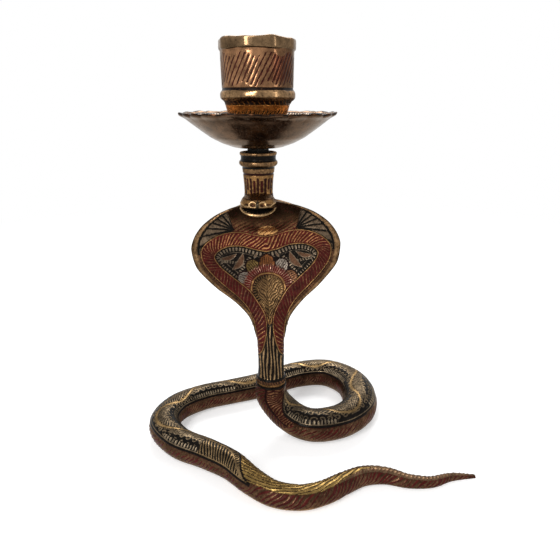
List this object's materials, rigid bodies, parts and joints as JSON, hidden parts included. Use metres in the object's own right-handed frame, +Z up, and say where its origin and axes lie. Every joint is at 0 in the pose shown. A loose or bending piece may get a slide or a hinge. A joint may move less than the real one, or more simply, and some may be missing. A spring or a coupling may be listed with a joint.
{
  "type": "cobra candle holder",
  "caption": "Cast brass cobra on a coiled tail, with a scalloped drip pan and a screw-on cup for one dinner candle on its head.",
  "frame": {"origin": "middle of the whole object's footprint, on the surface that it stands on", "axes": "+Z up along the stem and the candle, the cobra faces -Y, +X towards the tip of the tail"},
  "size_m": [0.133, 0.0996, 0.1605],
  "materials": {
    "red_lac_brass": "engraved brass with red and black lac, worn on the ridges",
    "aged_brass": "polished and darkened with age",
    "pan_brass": "polished below, engraved above, dark with age",
    "dark_steel": "dull, oiled"
  },
  "bodies": {
    "tail": {"tail_coil": "red_lac_brass"},
    "neck_lift": {"neck_stud": "dark_steel"},
    "hood": {"cobra_hood": "red_lac_brass", "stem_bush": "aged_brass"},
    "cup_lift": {"cup_stud": "dark_steel"},
    "cup": {"candle_cup": "aged_brass", "drip_pan": "pan_brass", "lock_nut": "dark_steel"}
  },
  "joints": [
    {"name": "hood_rise", "type": "slide", "parent": "tail", "child": "neck_lift", "axis": [0, 0, 1], "range_m": [0, 0.0075]},
    {"name": "hood_turn", "type": "hinge", "parent": "neck_lift", "child": "hood", "pos_m": [-0.01353, 0.00087, 0.0253], "axis": [0, 0, 1], "range_deg": [0, 2700]},
    {"name": "cup_rise", "type": "slide", "parent": "hood", "child": "cup_lift", "axis": [0, 0, 1], "range_m": [0, 0.006]},
    {"name": "cup_turn", "type": "hinge", "parent": "cup_lift", "child": "cup", "pos_m": [-0.01803, 0.00587, 0.1225], "axis": [0, 0, 1], "range_deg": [0, 2700]}
  ],
  "couplings": [
    {"joint": "hood_rise", "follows": "hood_turn", "m_per_rad": 0.00015915},
    {"joint": "cup_rise", "follows": "cup_turn", "m_per_rad": 0.00012732}
  ]
}
